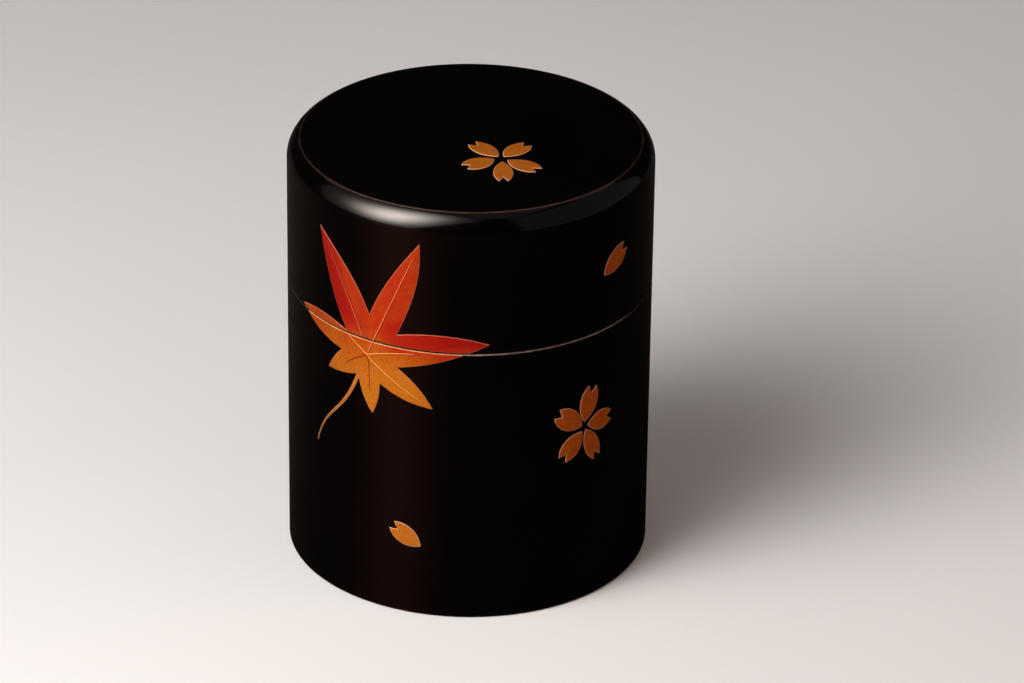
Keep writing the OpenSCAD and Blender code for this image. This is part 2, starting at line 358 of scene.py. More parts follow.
def skin(profile, upward):
    """The outside of a turned piece from its wall over its rim, at its upper or lower end: a
    function from the heights along the skin to radii, heights and outward normals."""
    rows = profile[:, :2]
    wall = np.flatnonzero(rows[:, 0] > caddy_r - SAME / 10)
    start = wall[np.argmax(rows[wall, 1])] if upward else wall[np.argmin(rows[wall, 1])]
    n = len(rows)
    way = 1 if rows[(start + 1) % n, 0] < caddy_r - SAME / 10 else -1
    past_rim = 14                   # rows of the profile, enough to round the rim
    path = [rows[(start + way * k) % n] for k in range(past_rim)]
    steps = [np.linalg.norm(b - a) for a, b in zip(path, path[1:])]
    length = np.concatenate([[0], np.cumsum(steps)])
    path = np.array(path)
    sign = 1 if upward else -1
    slope = np.gradient(path, length, axis=0)
    slope[0] = (0, sign)
    slope /= np.linalg.norm(slope, axis=1)[:, None]
    normal = np.stack([slope[:, 1], -slope[:, 0]], 1) * sign

    def at(up):
        past = np.clip(sign * (up - path[0, 1]), 0, None)
        r = np.interp(past, length, path[:, 0])
        z = np.where(past > 0, np.interp(past, length, path[:, 1]), up)
        return r, z, np.stack([np.interp(past, length, normal[:, k]) for k in (0, 1)], 1)
    return at


def on_wall(surface):
    """A function that lays points of the flat drawing, raised by h, on the wall."""
    def place(uv, h):
        r, z, normal = surface(uv[:, 1])
        angle = uv[:, 0] / caddy_r
        r = r + h * normal[:, 0]
        return np.stack([r * np.sin(angle), -r * np.cos(angle), z + h * normal[:, 1]], 1)
    return place


def on_top(uv, h):
    """Lays points of the flat drawing, raised by h, on the lid's top."""
    return np.stack([uv[:, 0], uv[:, 1], caddy_top + h], 1)


def plate(bm, line, place, thick, values, grid=0.45 * MM, relief=None, soft=0.09 * MM):
    """Adds one raised motif to the mesh: a closed plate with a rounded edge. values maps a
    name to a function of (points, distance to the edge) and is kept on the vertices."""
    layers = {name: bm.verts.layers.float.get(name) or bm.verts.layers.float.new(name)
              for name in values}
    points, tris = filled(line, INSETS, grid)
    d = distance(points, line)
    h = thick * (0.35 + 0.65 * (1 - np.exp(-d / soft)))
    if relief is not None:
        h = h + relief(points) * (1 - np.exp(-d / (4 * soft)))
    top = [bm.verts.new(co) for co in place(points, h)]
    under = [bm.verts.new(co) for co in place(points, np.full(len(points), -SUNK))]
    for name, value in values.items():
        for verts in (top, under):
            for v, x in zip(verts, value(points, d)):
                v[layers[name]] = x
    edges = {}
    for a, b, c in tris:
        bm.faces.new((top[a], top[b], top[c]))
        bm.faces.new((under[c], under[b], under[a]))
        for e in ((a, b), (b, c), (c, a)):
            edges[frozenset(e)] = None if frozenset(e) in edges else e
    for e in filter(None, edges.values()):
        bm.faces.new((top[e[1]], top[e[0]], under[e[0]], under[e[1]]))


def along_axis(line):
    """For a petal: plate values of the place along it from its point, and across it."""
    middle = line.mean(0)
    _, _, axes = np.linalg.svd(line - middle)
    way = axes[0]
    turns = [abs(turn(line[k - 1], line[k], line[(k + 1) % len(line)])) for k in range(len(line))]
    sharp = np.argsort(turns)[-4:]
    # The end with one corner is the petal's point. The notched end has three
    side = np.sign((line[sharp] - middle) @ way)
    way = way * (-1 if np.sum(side < 0) > 2 else 1)
    base = ((line - middle) @ way).max()
    aside = rotated(way, math.pi / 2)
    return (lambda p, _: base - (p - middle) @ way), (lambda p, _: (p - middle) @ aside)


def vein_lines(node):
    """Centreline and half width along it of each vein in a CAD node."""
    veins = []
    for line in outlines(node):
        dense = np.concatenate([line + (np.roll(line, -1, axis=0) - line) * t
                                for t in np.linspace(0, 1, 12, endpoint=False)])
        middle = dense.mean(0)
        _, _, axes = np.linalg.svd(dense - middle)
        along, off = (dense - middle) @ axes[0], (dense - middle) @ axes[1]
        fit = np.polyfit(along, off, 3)
        width = np.polyfit(along, np.abs(off - np.polyval(fit, along)), 1)
        steps = np.linspace(along.min(), along.max(), 40)
        veins.append((middle + steps[:, None] * axes[0] + np.polyval(fit, steps)[:, None] * axes[1],
                      np.clip(np.polyval(width, steps) * 1.15, 0.06 * MM, None)))
    return veins


def vein(bm, line, half, place, base, high, tone, ends):
    """Adds one vein to the mesh: a ridge along a line, tapering at its free ends. The value lit,
    for painted light and shade, runs from 1 on the side towards the upper left to 0 on the other
    side."""
    way = np.gradient(line, axis=0)
    way /= np.linalg.norm(way, axis=1)[:, None]
    across = np.stack([-way[:, 1], way[:, 0]], 1)
    if across.mean(0) @ TO_UPPER_LEFT < 0:
        across = -across
    t = np.linspace(0, 1, len(line))
    taper = np.ones(len(line))
    for k, free in enumerate(ends):
        if free:
            gone = t if k == 0 else 1 - t
            taper = taper * np.clip(gone / VEIN_TAPER, 0.05, 1) ** 0.5
    layers = bm.verts.layers.float
    lit, tones = (layers.get(k) or layers.new(k) for k in ("lit", "tone"))
    rings = []
    for s, rise in VEIN_SECTION:
        co = place(line + across * (half * taper * s)[:, None], base + high * rise * taper)
        ring = [bm.verts.new(c) for c in co]
        for v in ring:
            v[lit], v[tones] = 0.5 + 0.5 * s, tone
        rings.append(ring)
    for a, b in zip(rings, rings[1:] + rings[:1]):
        for k in range(len(line) - 1):
            bm.faces.new((a[k], a[k + 1], b[k + 1], b[k]))
    for k in (0, -1):
        bm.faces.new([ring[k] for ring in rings])


# ---- materials ----------------------------------------------------------------------------

class Nodes:
    """Shader nodes added to a tree one by one. Each call but add gives the node's output."""

    def __init__(self, tree):
        self.tree = tree

    def add(self, kind, inputs=(), **settings):
        """Adds a node and gives the node itself. An input is a socket or a plain value."""
        node = self.tree.nodes.new("ShaderNode" + kind)
        for key, value in settings.items():
            setattr(node, key, value)
        for key, value in dict(inputs).items():
            if isinstance(value, bpy.types.NodeSocket):
                self.tree.links.new(value, node.inputs[key])
            else:
                node.inputs[key].default_value = value
        return node

    def maths(self, operation, *values):
        return self.add("Math", enumerate(values), operation=operation).outputs[0]

    def stretched(self, place, by):
        return self.add("VectorMath", {0: place, 1: by}, operation="MULTIPLY").outputs[0]

    def value(self, name):
        """A value kept on the mesh's points."""
        return self.add("Attribute", attribute_name=name).outputs["Fac"]

    def ranged(self, value, low, high, to_low=0.0, to_high=1.0):
        """The value's range from low to high, spread from to_low to to_high and cut off there."""
        return self.add("MapRange", {"Value": value, "From Min": low, "From Max": high,
                                     "To Min": to_low, "To Max": to_high}).outputs["Result"]

    def ramp(self, value, *stops):
        """A colour that runs through the stops, each a place from 0 to 1 and a colour."""
        node = self.add("ValToRGB", {"Fac": value})
        ramp = node.color_ramp
        while len(ramp.elements) < len(stops):
            ramp.elements.new(1.0)
        for element, (position, colour) in zip(ramp.elements, stops):
            element.position = position
            element.color = (*colour, 1.0)
        return node.outputs["Color"]

    def mixed(self, share, a, b):
        """Colour a, and that share of colour b. Each is a socket or a plain colour."""
        node = self.add("Mix", {0: share}, data_type="RGBA")
        for socket, value in ((6, a), (7, b)):
            if isinstance(value, bpy.types.NodeSocket):
                self.tree.links.new(value, node.inputs[socket])
            else:
                node.inputs[socket].default_value = (*value, 1.0)
        return node.outputs[2]


class Finish(Nodes):
    """A procedural material, built up node by node in the piece's own coordinates."""

    def __init__(self, name, **shader):
        self.made = bpy.data.materials.new(name)
        self.made.use_nodes = True
        super().__init__(self.made.node_tree)
        self.shader = self.tree.nodes["Principled BSDF"]
        for socket, value in shader.items():
            self.shader.inputs[socket.replace("_", " ")].default_value = value
        self.place = self.add("TexCoord").outputs["Object"]
        self.normal = None

    def noise(self, size, detail=3.0, place=None, rough=0.55, distortion=0.0):
        """Even noise from 0 to 1 whose features are about size metres across."""
        return self.add("TexNoise", {"Vector": place or self.place, "Scale": 1 / size,
                                     "Detail": detail, "Roughness": rough,
                                     "Distortion": distortion}).outputs["Fac"]

    def specks(self, size):
        """Distance to scattered points about size metres apart, as a share of size."""
        return self.add("TexVoronoi", {"Vector": self.place, "Scale": 1 / size}).outputs["Distance"]

    def bump(self, height, depth):
        """Adds a bump of that depth in metres, for a height from 0 to 1."""
        inputs = {"Height": height, "Distance": depth, "Strength": 1.0}
        if self.normal is not None:
            inputs["Normal"] = self.normal
        self.normal = self.add("Bump", inputs).outputs["Normal"]

    def round_axis(self):
        """Radius, angle and height of the point. The angle is given as length at the wall, 0 at
        the front and + to the right, so that it jumps at the back."""
        xyz = self.add("SeparateXYZ", {0: self.place})
        x, y, z = (xyz.outputs[k] for k in range(3))
        r = self.maths("SQRT", self.maths("ADD", self.maths("MULTIPLY", x, x),
                                          self.maths("MULTIPLY", y, y)))
        angle = self.maths("ARCTAN2", x, self.maths("MULTIPLY", y, -1.0))
        around = self.maths("MULTIPLY", angle, caddy_r)
        return r, around, z

    def finished(self, colour, roughness):
        """Joins colour, roughness and the bumps to the shader and gives the material."""
        for socket, value in (("Base Color", colour), ("Roughness", roughness),
                              ("Normal", self.normal)):
            if value is not None:
                self.tree.links.new(value, self.shader.inputs[socket])
        return self.made


WORN_THROUGH = (0.02, 0.006, 0.004)     # the red-brown ground under worn lacquer
RIM_HIGHLIGHT_PALE = (0.33, 0.245, 0.24)       # painted highlight on the body's rim bevel
LIP_PAINTED_HIGHLIGHT = (0.56, 0.32, 0.14)           # painted highlight on the leaf where it runs over the body's rim
DARK_GOLD = (0.22, 0.035, 0.003)        # between the grains of gold powder
# Tones of the veins
DARK, ORANGE, PINK, PALE_GOLD = 0.0, 0.33, 0.66, 1.0


def rim_painted_highlight(f, colour, r, around, z):
    """Painted highlight: the body's rim is painted pale at the bevel, from the front round to the
    right.
    """
    at_rim = f.maths("MULTIPLY", f.ranged(z, seam_z - 0.22 * MM, seam_z - 0.16 * MM),
                     f.ranged(z, seam_z + 0.09 * MM, seam_z + 0.05 * MM))
    at_rim = f.maths("MULTIPLY", at_rim, f.ranged(r, caddy_r - 0.4 * MM, caddy_r - 0.32 * MM))
    place = f.maths("MULTIPLY", f.ranged(around, -6 * MM, 0.0, 0.05, 0.75),
                    f.ranged(around, 43 * MM, 35 * MM, 0.03, 1.0))
    place = f.maths("MULTIPLY", place, f.ranged(around, 0.0, 9 * MM, 1.0, 0.53))
    place = f.maths("MULTIPLY", place, f.ranged(around, 20 * MM, 28 * MM, 1.0, 1.5))
    patchy = f.ranged(f.noise(1.1 * MM, 4.0), 0.3, 0.6, 0.5, 1.0)
    share = f.maths("MULTIPLY", f.maths("MULTIPLY", at_rim, place), patchy)
    return f.mixed(share, colour, RIM_HIGHLIGHT_PALE)


def black_lacquer(name, gloss=0.13, marks=0.0, worn_share=1.0):
    """Polished black urushi: faint brown depth, hairline polishing marks, worn edges and a painted
    highlight on the body's rim bevel. gloss is its roughness, and marks is the depth of turning
    marks."""
    f = Finish(name, IOR=1.5)
    cloud = f.noise(22 * MM, 4.0)
    fine = f.noise(1.3 * MM, 2.0)
    base = f.ramp(cloud, (0.3, (0.0003, 0.0002, 0.0002)), (0.7, (0.0008, 0.0004, 0.0003)))
    patches = f.ranged(f.noise(1.6 * MM, 5.0), 0.5, 0.62, 0.0, worn_share)
    worn = f.maths("MULTIPLY", f.value("wear"), patches)
    colour = f.mixed(worn, base, WORN_THROUGH)
    r, around, z = f.round_axis()
    # Painted highlight: a pale band on the body's rim bevel
    colour = rim_painted_highlight(f, colour, r, around, z)
    ring = f.add("CombineXYZ", {0: f.maths("MULTIPLY", around, 0.02), 1: z, 2: r}).outputs[0]
    hair = f.noise(0.12 * MM, 2.0, ring)
    smudge = f.noise(14 * MM, 5.0, distortion=0.8)
    rough = f.maths("ADD", f.ranged(smudge, 0.25, 0.8, gloss - 0.03, gloss + 0.05),
                    f.ranged(hair, 0.62, 0.8, 0.0, 0.06))
    rough = f.maths("ADD", rough, f.maths("MULTIPLY", worn, 0.2))
    f.bump(fine, 1.2e-6)
    f.bump(hair, 0.25e-6)
    if marks:
        f.bump(f.noise(0.5 * MM, 3.0, ring), marks)
    return f.finished(colour, rough)


def vermilion_lacquer(name):
    """Satin vermilion urushi with brush marks round the piece and darker settled pigment."""
    f = Finish(name, IOR=1.5)
    r, around, z = f.round_axis()
    ring = f.add("CombineXYZ", {0: f.maths("MULTIPLY", around, 0.06), 1: z, 2: r}).outputs[0]
    brush = f.noise(0.7 * MM, 4.0, ring)
    cloud = f.noise(9 * MM, 4.0)
    base = f.ramp(cloud, (0.3, (0.30, 0.026, 0.010)), (0.7, (0.42, 0.045, 0.016)))
    colour = f.mixed(f.ranged(brush, 0.35, 0.7, 0.0, 0.35), base, (0.24, 0.018, 0.008))
    dark = f.ranged(f.specks(1.1 * MM), 0.12, 0.06)
    colour = f.mixed(f.maths("MULTIPLY", dark, 0.5), colour, (0.10, 0.008, 0.005))
    worn = f.maths("MULTIPLY", f.value("wear"), f.ranged(f.noise(2.0 * MM, 5.0), 0.48, 0.6))
    colour = f.mixed(worn, colour, WORN_THROUGH)
    f.bump(brush, 5e-6)
    return f.finished(colour, f.ranged(f.noise(6 * MM, 4.0), 0.3, 0.75, 0.26, 0.4))


def rim_paint():
    """The narrow line of red-brown lacquer in the groove round the top board, painted lighter in
    front as a painted highlight.
    """
    f = Finish("rim_line_red", IOR=1.5, Specular_IOR_Level=0.3)
    patch = f.noise(2.5 * MM, 5.0)
    painted_lit_front = f.ramp(patch, (0.35, (0.036, 0.009, 0.006)), (0.65, (0.062, 0.020, 0.015)))
    plain_back = f.ramp(patch, (0.35, (0.007, 0.003, 0.003)), (0.65, (0.012, 0.006, 0.006)))
    _, around, _ = f.round_axis()
    # Painted highlight: the line is painted lighter at the front than behind
    colour = f.mixed(f.ranged(f.maths("ABSOLUTE", around), 52 * MM, 12 * MM), plain_back, painted_lit_front)
    gaps = f.ranged(f.noise(0.25 * MM, 2.0), 0.5, 0.7, 0.0, 0.6)
    colour = f.mixed(gaps, colour, (0.008, 0.002, 0.002))
    f.bump(f.noise(0.2 * MM, 3.0), 6e-6)
    return f.finished(colour, f.ranged(patch, 0.3, 0.7, 0.36, 0.55))


def gilded(name, body_colour, edge_colour, dark_colour, sparkle, edge_width=0.2 * MM,
           edge_share=0.85):
    """Sprinkled gold powder, rubbed matt: body_colour(f) gives the pigment, dark_colour shows
    between the grains, and a paler line runs along the motif's edge."""
    f = Finish(name, IOR=1.5, Specular_IOR_Level=0.05, Metallic=0.12)
    powder = f.noise(0.36 * MM, 3.0, rough=0.7)
    streaks = f.add("CombineXYZ", {0: f.maths("MULTIPLY", f.value("along"), 0.12),
                                   1: f.value("across")}).outputs[0]
    stroke = f.noise(0.5 * MM, 4.0, streaks)
    colour = body_colour(f)
    colour = f.mixed(f.ranged(powder, 0.36, 0.64, 0.0, 0.5), colour, dark_colour)
    flecks = f.maths("ADD", f.ranged(f.specks(0.4 * MM), 0.16, 0.08, 0.0, sparkle),
                     f.ranged(stroke, 0.45, 0.75, 0.0, sparkle * 0.4))
    colour = f.mixed(flecks, colour, edge_colour)
    edge = f.ranged(f.value("edge"), edge_width, edge_width - 0.1 * MM, 0.0, edge_share)
    colour = f.mixed(edge, colour, edge_colour)
    f.bump(powder, 7e-6)
    f.bump(stroke, 4e-6)
    return f.finished(colour, f.ranged(powder, 0.3, 0.7, 0.4, 0.6))


def maple_colour(f):
    """Crimson at the upper lobes, through orange, to gold at the lower ones, with painted shade that
    darkens it towards the left, and a pale lip of painted highlight where the leaf runs over the
    body's rim."""
    clouds = f.ranged(f.noise(3.0 * MM, 4.0), 0.2, 0.8, -0.06, 0.06)
    mottled = f.maths("ADD", f.value("tint"), clouds)
    colour = f.ramp(mottled, (0.0, (0.20, 0.001, 0.0004)), (0.22, (0.24, 0.001, 0.0004)),
                    (0.42, (0.275, 0.007, 0.0007)), (0.6, (0.30, 0.021, 0.001)),
                    (0.8, (0.345, 0.078, 0.003)), (1.0, (0.375, 0.122, 0.006)))
    # Painted shade: the leaf darkens towards the left
    colour = f.mixed(f.value("thin"), colour, (0.01, 0.001, 0.0005))
    _, _, z = f.round_axis()
    # Painted highlight: a pale band where the leaf runs over the body's rim
    lip = f.maths("MULTIPLY", f.ranged(z, seam_z - 0.16 * MM, seam_z - 0.11 * MM),
                  f.ranged(z, seam_z + 0.12 * MM, seam_z + 0.08 * MM))
    lip = f.maths("MULTIPLY", lip, f.ranged(f.noise(1.5 * MM, 3.0), 0.3, 0.6, 0.6, 1.0))
    return f.mixed(lip, colour, LIP_PAINTED_HIGHLIGHT)


def petal_colour(low, high):
    """Gold mottled between two colours."""
    def colour(f):
        return f.ramp(f.noise(1.6 * MM, 4.0), (0.3, low), (0.7, high))
    return colour


def stalk_colour(f):
    """Gold where the stalk leaves the leaf, more and more worn towards its foot."""
    _, _, z = f.round_axis()
    low, high = (corner.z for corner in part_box("leaf_stem"))
    clouds = f.ranged(f.noise(1.2 * MM, 4.0), 0.2, 0.8, -0.08, 0.08)
    worn = f.maths("ADD", f.ranged(z, high, low), clouds)
    return f.ramp(worn, (0.1, (0.34, 0.12, 0.015)), (0.55, (0.27, 0.095, 0.015)),
                  (1.0, (0.10, 0.04, 0.02)))


def vein_gold():
    """Vein lines: each is painted lit in its own tone on the side towards the light, from dark
    red-brown through orange and pink to pale gold, and painted in dark shade on the other side."""
    f = Finish("vein_gold", IOR=1.5, Specular_IOR_Level=0.08, Metallic=0.12)
    powder = f.noise(0.15 * MM, 3.0)
    bright = f.ramp(f.value("tone"), (DARK, (0.14, 0.014, 0.003)), (ORANGE, (0.52, 0.13, 0.045)),
                    (PINK, (0.50, 0.16, 0.10)), (PALE_GOLD, (0.60, 0.27, 0.07)))
    side = f.maths("ADD", f.value("lit"), f.ranged(powder, 0.3, 0.7, -0.05, 0.05))
    # Painted light on the side towards the light, painted shade in dark red on the other side
    colour = f.mixed(f.ranged(side, 0.34, 0.46), (0.10, 0.005, 0.002), bright)
    f.bump(powder, 5e-6)
    return f.finished(colour, f.ranged(powder, 0.3, 0.7, 0.4, 0.6))


# ---- the pieces ---------------------------------------------------------------------------

polished = black_lacquer("urushi_black")
plain_black = black_lacquer("urushi_black_inner", gloss=0.22, marks=4e-6, worn_share=0.35)
vermilion = vermilion_lacquer("urushi_vermilion")
maple = gilded("maple_pigment", maple_colour, (0.36, 0.15, 0.09), (0.14, 0.007, 0.002),
               edge_width=0.16 * MM, edge_share=0.55, sparkle=0.10)
petal_gold = gilded("petal_gold", petal_colour((0.32, 0.088, 0.003), (0.34, 0.125, 0.008)),
                    (0.40, 0.235, 0.14), DARK_GOLD, sparkle=0.25)
# Painted shade: the top blossom's gold and the right-hand petals' gold are darker copies of the petal
# gold, the right-hand one deeper and redder
top_gold_shaded = gilded("petal_gold_top_shaded", petal_colour((0.25, 0.068, 0.0015), (0.27, 0.098, 0.005)),
                  (0.40, 0.23, 0.14), DARK_GOLD, sparkle=0.22)
right_gold_shaded = gilded("petal_gold_right_shaded", petal_colour((0.275, 0.043, 0.0002), (0.30, 0.068, 0.0004)),
                   (0.29, 0.15, 0.10), (0.16, 0.016, 0.0005), sparkle=0.12)
stem_gold = gilded("stem_gold", stalk_colour, (0.35, 0.16, 0.07), (0.10, 0.02, 0.004),
                   edge_share=0.3, sparkle=0.2)
vein_paint = vein_gold()

# Each turned piece: name, CAD node, rounding of its corners, body, slot and materials
profiles = {}
for name, node, corner_r, body, slot, *finishes in (
        ("body_wall", "body_shell", 0.3 * MM, "caddy", "lacquer_black", polished),
        ("base", "base_board", 0.15 * MM, "caddy", "lacquer_black", plain_black, vermilion),
        ("sleeve", "inner_sleeve", 0.35 * MM, "caddy", "lacquer_vermilion", vermilion),
        ("inner_cover", "inner_lid", 0.35 * MM, "inner_lid", "lacquer_black", plain_black),
        ("inner_cover_knob", "inner_lid_knob", 0.3 * MM, "inner_lid", "lacquer_black", plain_black),
        ("lid_cap", "lid_ring", 0.15 * MM, "lid", "lacquer_black", polished),
        ("lid_board", "lid_top_board", 0.08 * MM, "lid", "lacquer_black", polished),
        ("lid_line", "lid_rim_line", 0.06 * MM, "lid", "rim_red", rim_paint())):
    piece, profiles[node] = turned(name, node, corner_r, *finishes)
    placed(piece, body, slot, node)

on_body = on_wall(skin(profiles["body_shell"], upward=True))
on_lid = on_wall(skin(profiles["lid_ring"], upward=False))

motif_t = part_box("top_blossom")[1].z - caddy_top
vein_sets = {node: vein_lines(node) for node in ("leaf_veins_lid", "leaf_veins_body")}


def meeting_point(lines):
    """The point that lies closest to all the lines, each taken as straight."""
    ways = [(line[-1] - line[0]) / np.linalg.norm(line[-1] - line[0]) for line in lines]
    normals = np.array([rotated(way, math.pi / 2) for way in ways])
    reach = np.array([n @ line[len(line) // 2] for n, line in zip(normals, lines)])
    return np.linalg.lstsq(normals, reach, rcond=None)[0]


heart = meeting_point([line for line, _ in vein_sets["leaf_veins_body"]])


def eased(x, low, high):
    """0 below low, 1 above high and smooth between."""
    t = np.clip((x - low) / (high - low), 0, 1)
    return t * t * (3 - 2 * t)


def leaf_tint(points, _):
    """0 is crimson and 1 is gold: gold at the foot of the leaf, red at the upper lobes."""
    s, z = (points - heart).T / MM
    t = np.maximum(0.82 - 0.035 * (z - 0.25 * s), 0.6)
    t += 0.14 * (1 - eased(s, -9, -5)) * (1 - eased(z, 4, 8))
    # The upper left lobe: crimson on the far side of its vein
    beyond = -0.88 * (s + 5.2) - 0.48 * (z - 13.6)
    t -= 0.38 * eased(beyond, -0.5 - 3 * eased(z, 14, 24), 2.5) * eased(z, 4, 9)
    # The right lobe reddens towards its tip, and more on its upper side
    over = z - 0.21 * s
    right = eased(s, 2, 7) * eased(over, -5.5, -3) * (1 - eased(over, 7, 9))
    t -= right * (0.45 * eased(s, 3, 27) + 0.22 * eased(over, -0.5, 1.5))
    return np.clip(t, 0, 1)


def leaf_thin(points, _):
    """Painted shade: how much the leaf's colour is darkened towards the left, where less light falls.
    """
    return 0.3 * (1 - eased((points[:, 0] - heart[0]) / MM, -15, 3))


def leaf_fold(points):
    """The leaf rises a little towards its veins."""
    near = np.full(len(points), np.inf)
    for line, _ in sum(vein_sets.values(), []):
        for q in line:
            near = np.minimum(near, np.hypot(*(points - q).T))
    return 0.09 * MM * np.exp(-near / (1.6 * MM))


def radial(points, _):
    """The leaf's grain runs out from its heart."""
    return np.hypot(*(points - heart).T)


def around_heart(points, _):
    s, z = (points - heart).T
    return np.arctan2(z, s) * 12 * MM


def edge_distance(points, d):
    return d


LEAF_VALUES = {"edge": edge_distance, "tint": leaf_tint, "thin": leaf_thin, "along": radial,
               "across": around_heart}


def leaf_part(name, node, place, body, slot, carry):
    """One part of the leaf. Its cut edge at the seam is carried over the rim by carry, past
    the rounded corner."""
    bm = bmesh.new()
    for line in outlines(node):
        cut = line[:, 1].max() if body == "caddy" else line[:, 1].min()
        at_cut = np.abs(line[:, 1] - cut) < 2 * SAME
        line = line.copy()
        line[at_cut, 1] += carry
        dense = curved(line, True, 0.3 * MM, fixed=set(np.flatnonzero(at_cut)))
        plate(bm, dense, place, motif_t, LEAF_VALUES, relief=leaf_fold)
    placed(mesh_object(name, bm, maple), body, slot, node)


leaf_part("leaf_upper", "leaf_lid", on_lid, "lid", "maple_red", 0.1 * MM)
leaf_part("leaf_lower", "leaf_body", on_body, "caddy", "maple_gold", 0.2 * MM)

# Each vein's direction from the heart in degrees, its tone and its width as a share
VEIN_LOOKS = [(116, PINK, 1.1), (67, ORANGE, 1.7), (146, PALE_GOLD, 0.65), (13, 0.9, 0.85),
              (-34, PALE_GOLD, 0.65), (-85, DARK, 0.8), (-148, DARK, 0.8)]


def vein_look(way):
    """Tone and width of the vein that runs that way."""
    angle = math.degrees(math.atan2(way[1], way[0]))
    return min(VEIN_LOOKS, key=lambda look: abs((look[0] - angle + 180) % 360 - 180))[1:]


def leaf_veins(name, node, place, body):
    """The veins of one part of the leaf. Those on the body run on to the heart, apart from the
    ones that start at the seam and the orange one, which ends there."""
    bm = bmesh.new()
    at_lid = body == "lid"
    seam_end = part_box(node)[0 if at_lid else 1].z
    for line, half in vein_sets[node]:
        if np.linalg.norm(line[0] - heart) > np.linalg.norm(line[-1] - heart):
            line, half = line[::-1], half[::-1]
        tone, wide = vein_look(line[-1] - heart)
        start_cut, end_cut = (abs(line[k, 1] - seam_end) < 0.4 * MM for k in (0, -1))
        if not at_lid and not (start_cut or end_cut and tone == ORANGE):
            reach = np.linspace(0, 1, 6)[:-1, None]
            line = np.concatenate([heart + (line[0] - heart) * reach, line])
            half = np.concatenate([np.full(len(reach), half[0]), half])
        vein(bm, line, half * wide, place, motif_t + 0.08 * MM, 0.1 * MM, tone,
             [at_lid and not start_cut, not end_cut])
    placed(mesh_object(name, bm, vein_paint), body, "vein_gold", node)


leaf_veins("veins_upper", "leaf_veins_lid", on_lid, "lid")
leaf_veins("veins_lower", "leaf_veins_body", on_body, "caddy")


def petals(name, node, place, body, slot, material, flat=False):
    """A blossom, a single petal or the stalk, each part with its own grain along it."""
    bm = bmesh.new()
    for line in outlines(node, flat):
        dense = curved(line, True, 0.2 * MM)
        along, across = along_axis(line)
        values = {"edge": edge_distance, "along": along, "across": across}
        plate(bm, dense, place, motif_t, values, grid=0.4 * MM)
    placed(mesh_object(name, bm, material), body, slot, node)


petals("leaf_stalk", "leaf_stem", on_body, "caddy", "maple_gold", stem_gold)
# The top blossom's and the right-hand petals' golds carry painted shade
petals("blossom_top", "top_blossom", on_top, "lid", "petal_gold", top_gold_shaded, flat=True)
petals("petal_lid", "lid_petal", on_lid, "lid", "petal_gold", right_gold_shaded)
petals("blossom_body", "body_blossom", on_body, "caddy", "petal_gold", right_gold_shaded)
petals("petal_body", "body_petal", on_body, "caddy", "petal_gold", petal_gold)


# ---- studio -------------------------------------------------------------------------------

# The share of the floor that shows in the lacquer's reflections, by place
FLOOR_SEEN_FRONT = (0.012, 0.011, 0.0105)
FLOOR_SEEN_BACK_LEFT = (0.034, 0.031, 0.029)
FLOOR_SEEN_FAR_BACK = (0.06, 0.0575, 0.055)
FLOOR_SEEN_BAND = (0.105, 0.042, 0.034)
BAND_FOOT, BAND_WAY = math.radians(-22.5), math.radians(-45)    # from the front, + to the right


def warm_band(f, x, y):
    """Share of the warm glow that stands as a soft upright band in the wall's left front. It
    starts under that part of the wall and spreads away from it."""
    way_x, way_y = math.sin(BAND_WAY), -math.cos(BAND_WAY)
    x = f.maths("ADD", x, -caddy_r * math.sin(BAND_FOOT))
    y = f.maths("ADD", y, caddy_r * math.cos(BAND_FOOT))
    out = f.maths("ADD", f.maths("MULTIPLY", x, way_x), f.maths("MULTIPLY", y, way_y))
    aside = f.maths("ADD", f.maths("MULTIPLY", x, -way_y), f.maths("MULTIPLY", y, way_x))
    spread = f.maths("ADD", f.maths("MULTIPLY", out, 0.32), 6 * MM)
    off = f.maths("DIVIDE", aside, spread)
    bell = f.maths("EXPONENT", f.maths("MULTIPLY", f.maths("MULTIPLY", off, off), -0.7))
    return f.maths("MULTIPLY", bell, f.ranged(out, -4 * MM, 0.0))


def floor_finish():
    """Pale matt paper. Only a small share of it shows in the lacquer's reflections."""
    f = Finish("floor_paper", IOR=1.4)
    cloud = f.noise(0.3, 3.0)
    colour = f.ramp(cloud, (0.3, (0.54, 0.585, 0.63)), (0.7, (0.57, 0.615, 0.66)))
    f.bump(f.noise(0.8 * MM, 3.0), 2e-5)
    f.finished(colour, f.ranged(cloud, 0.3, 0.7, 0.7, 0.85))
    xyz = f.add("SeparateXYZ", {0: f.place})
    x, y = xyz.outputs[0], xyz.outputs[1]
    back_left = f.maths("MULTIPLY", f.ranged(y, 0.0, 0.12), f.ranged(x, 0.05, -0.05, 0.35, 1.0))
    far_back = f.maths("MULTIPLY", f.ranged(y, 0.15, 0.35), f.ranged(y, 1.1, 0.7))
    seen = f.mixed(back_left, FLOOR_SEEN_FRONT, FLOOR_SEEN_BACK_LEFT)
    seen = f.mixed(far_back, seen, FLOOR_SEEN_FAR_BACK)
    seen = f.mixed(warm_band(f, x, y), seen, FLOOR_SEEN_BAND)
    dim = f.add("BsdfDiffuse", {"Color": seen})
    reflected = f.add("LightPath").outputs["Is Glossy Ray"]
    pick = f.add("MixShader", {0: reflected, 1: f.shader.outputs[0], 2: dim.outputs[0]})
    f.tree.links.new(pick.outputs[0], f.tree.nodes["Material Output"].inputs["Surface"])
    return f.made


